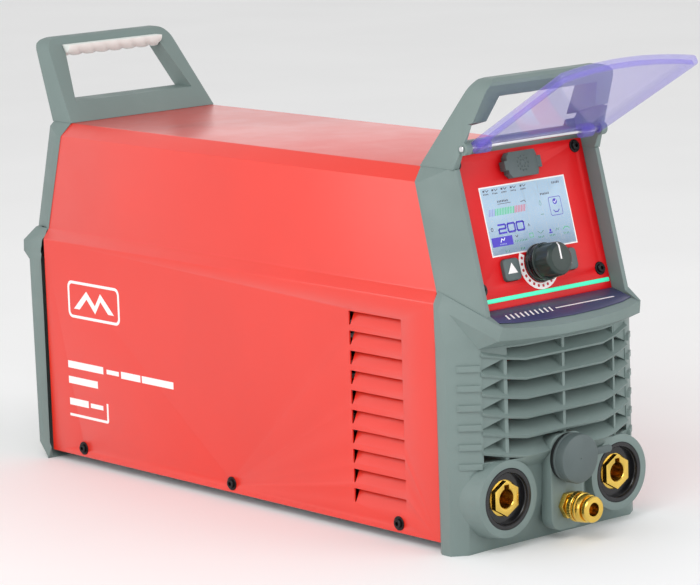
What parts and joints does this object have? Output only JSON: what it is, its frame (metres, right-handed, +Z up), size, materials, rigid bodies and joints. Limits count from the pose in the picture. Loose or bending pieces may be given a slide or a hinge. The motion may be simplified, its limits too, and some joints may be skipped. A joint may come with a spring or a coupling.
{
  "type": "portable inverter welding machine",
  "caption": "Portable inverter welding machine: red sheet-metal case between moulded end bezels with two carrying handles, sloping display panel under a flip-up clear lid.",
  "frame": {"origin": "on the surface the machine stands on, at the middle of its length and width", "axes": "+Z up, -Y towards the front panel, +X to the right seen from the front"},
  "size_m": [0.1726, 0.5728, 0.3303],
  "materials": {
    "galvanised_steel": "zinc-coated sheet, dull",
    "cover_paint": "glossy red powder coat",
    "panel_red": "satin red overlay film",
    "black_screw": "black oxide",
    "zinc_screw": "zinc plated",
    "grey_plastic": "finely grained grey-green moulding",
    "grip_plastic": "off-white satin",
    "black_plastic": "matt",
    "display": "lit colour display behind a clear window",
    "led_lens": "lit translucent strip",
    "label_film": "dark blue film",
    "dial_white": "printed white ring with red dots",
    "button_rubber": "satin dark grey",
    "gloss_black": "glossy",
    "knob_plastic": "satin",
    "clear_lid": "clear violet-tinted plastic",
    "bright_steel": "bright",
    "socket_black": "glossy moulding",
    "brass": "bright turned",
    "cap_rubber": "satin dark grey",
    "circuit_board": "green solder mask",
    "heatsink_aluminium": "extruded",
    "capacitor_sleeve": "shrunk sleeve",
    "ferrite": "sintered",
    "copper": "bare and enamelled copper",
    "coil_blue": "lacquered",
    "hose_rubber": "smooth",
    "rocker_red": "glossy red",
    "plate_aluminium": "anodised plate, no lettering"
  },
  "bodies": {
    "case": {"base_tray": "galvanised_steel", "top_cover": "cover_paint", "cover_screws": "black_screw", "frame_screws": "zinc_screw", "front_bezel": "grey_plastic", "front_handle": "grey_plastic", "front_grip": "grip_plastic", "rear_bezel": "grey_plastic", "rear_handle": "grey_plastic", "rear_grip": "grip_plastic", "control_panel": "panel_red", "panel_screws": "black_screw", "display_module": "black_plastic", "display_glass": "display", "led_strip": "led_lens", "label_band": "label_film", "dial_ring": "dial_white", "encoder_body": "zinc_screw", "port_socket": "black_plastic", "lid_pin": "bright_steel", "left_socket_body": "socket_black", "left_socket_insert": "brass", "right_socket_body": "socket_black", "right_socket_insert": "brass", "connector_plate": "grey_plastic", "control_connector": "black_plastic", "gas_coupler_body": "brass", "control_board": "circuit_board", "power_board": "circuit_board", "heatsinks": "heatsink_aluminium", "power_modules": "black_plastic", "capacitors": "capacitor_sleeve", "transformer_core": "ferrite", "transformer_winding": "copper", "output_inductor": "copper", "arc_start_coil": "coil_blue", "busbars": "copper", "gas_valve_body": "brass", "gas_valve_coil": "black_plastic", "gas_hose": "hose_rubber", "gas_inlet": "brass", "fan_frame": "black_plastic", "fan_guard": "bright_steel", "fan_screws": "zinc_screw", "power_switch_body": "black_plastic", "cable_gland": "black_plastic", "rating_plate": "plate_aluminium"},
    "lid_body": {"lid": "clear_lid"},
    "knob_push_body": {"encoder_plunger": "zinc_screw"},
    "knob_turn_body": {"encoder_shaft": "zinc_screw", "knob_skirt": "gloss_black", "knob": "knob_plastic"},
    "left_button_body": {"left_button": "button_rubber"},
    "right_button_body": {"right_button": "button_rubber"},
    "port_cover_body": {"port_cover": "button_rubber"},
    "connector_cap_body": {"connector_cap": "cap_rubber"},
    "coupler_sleeve_body": {"gas_coupler_sleeve": "brass"},
    "switch_rocker_body": {"switch_rocker": "rocker_red"},
    "fan_rotor_body": {"fan_rotor": "black_plastic"}
  },
  "joints": [
    {"name": "lid_hinge", "type": "hinge", "parent": "case", "child": "lid_body", "pos_m": [0, -0.1928, 0.27], "axis": [1, 0, 0], "range_deg": [-4, 104.5]},
    {"name": "knob_push", "type": "slide", "parent": "case", "child": "knob_push_body", "axis": [0, 0.9654, -0.2608], "range_m": [0, 0.0008], "stiffness_N_per_m": 4000},
    {"name": "knob_turn", "type": "hinge", "parent": "knob_push_body", "child": "knob_turn_body", "pos_m": [0, -0.19414, 0.18586], "axis": [0, -0.9654, 0.2608], "continuous": true},
    {"name": "left_button_press", "type": "slide", "parent": "case", "child": "left_button_body", "axis": [0, 0.9654, -0.2608], "range_m": [0, 0.001], "stiffness_N_per_m": 1500},
    {"name": "right_button_press", "type": "slide", "parent": "case", "child": "right_button_body", "axis": [0, 0.9654, -0.2608], "range_m": [0, 0.001], "stiffness_N_per_m": 1500},
    {"name": "port_cover_hinge", "type": "hinge", "parent": "case", "child": "port_cover_body", "pos_m": [0.0178, -0.17865, 0.2516], "axis": [0, 0.2608, 0.9654], "range_deg": [0, 160]},
    {"name": "cap_pull", "type": "slide", "parent": "case", "child": "connector_cap_body", "axis": [0, -1, 0], "range_m": [0, 0.015]},
    {"name": "coupler_sleeve_slide", "type": "slide", "parent": "case", "child": "coupler_sleeve_body", "axis": [0, 1, 0], "range_m": [0, 0.003], "stiffness_N_per_m": 2500},
    {"name": "power_switch_rock", "type": "hinge", "parent": "case", "child": "switch_rocker_body", "pos_m": [-0.036, 0.26233, 0.21464], "axis": [1, 0, 0], "range_deg": [-24, 0]},
    {"name": "fan_spin", "type": "hinge", "parent": "case", "child": "fan_rotor_body", "pos_m": [0, 0.2543, 0.096], "axis": [0, 1, 0], "continuous": true}
  ]
}
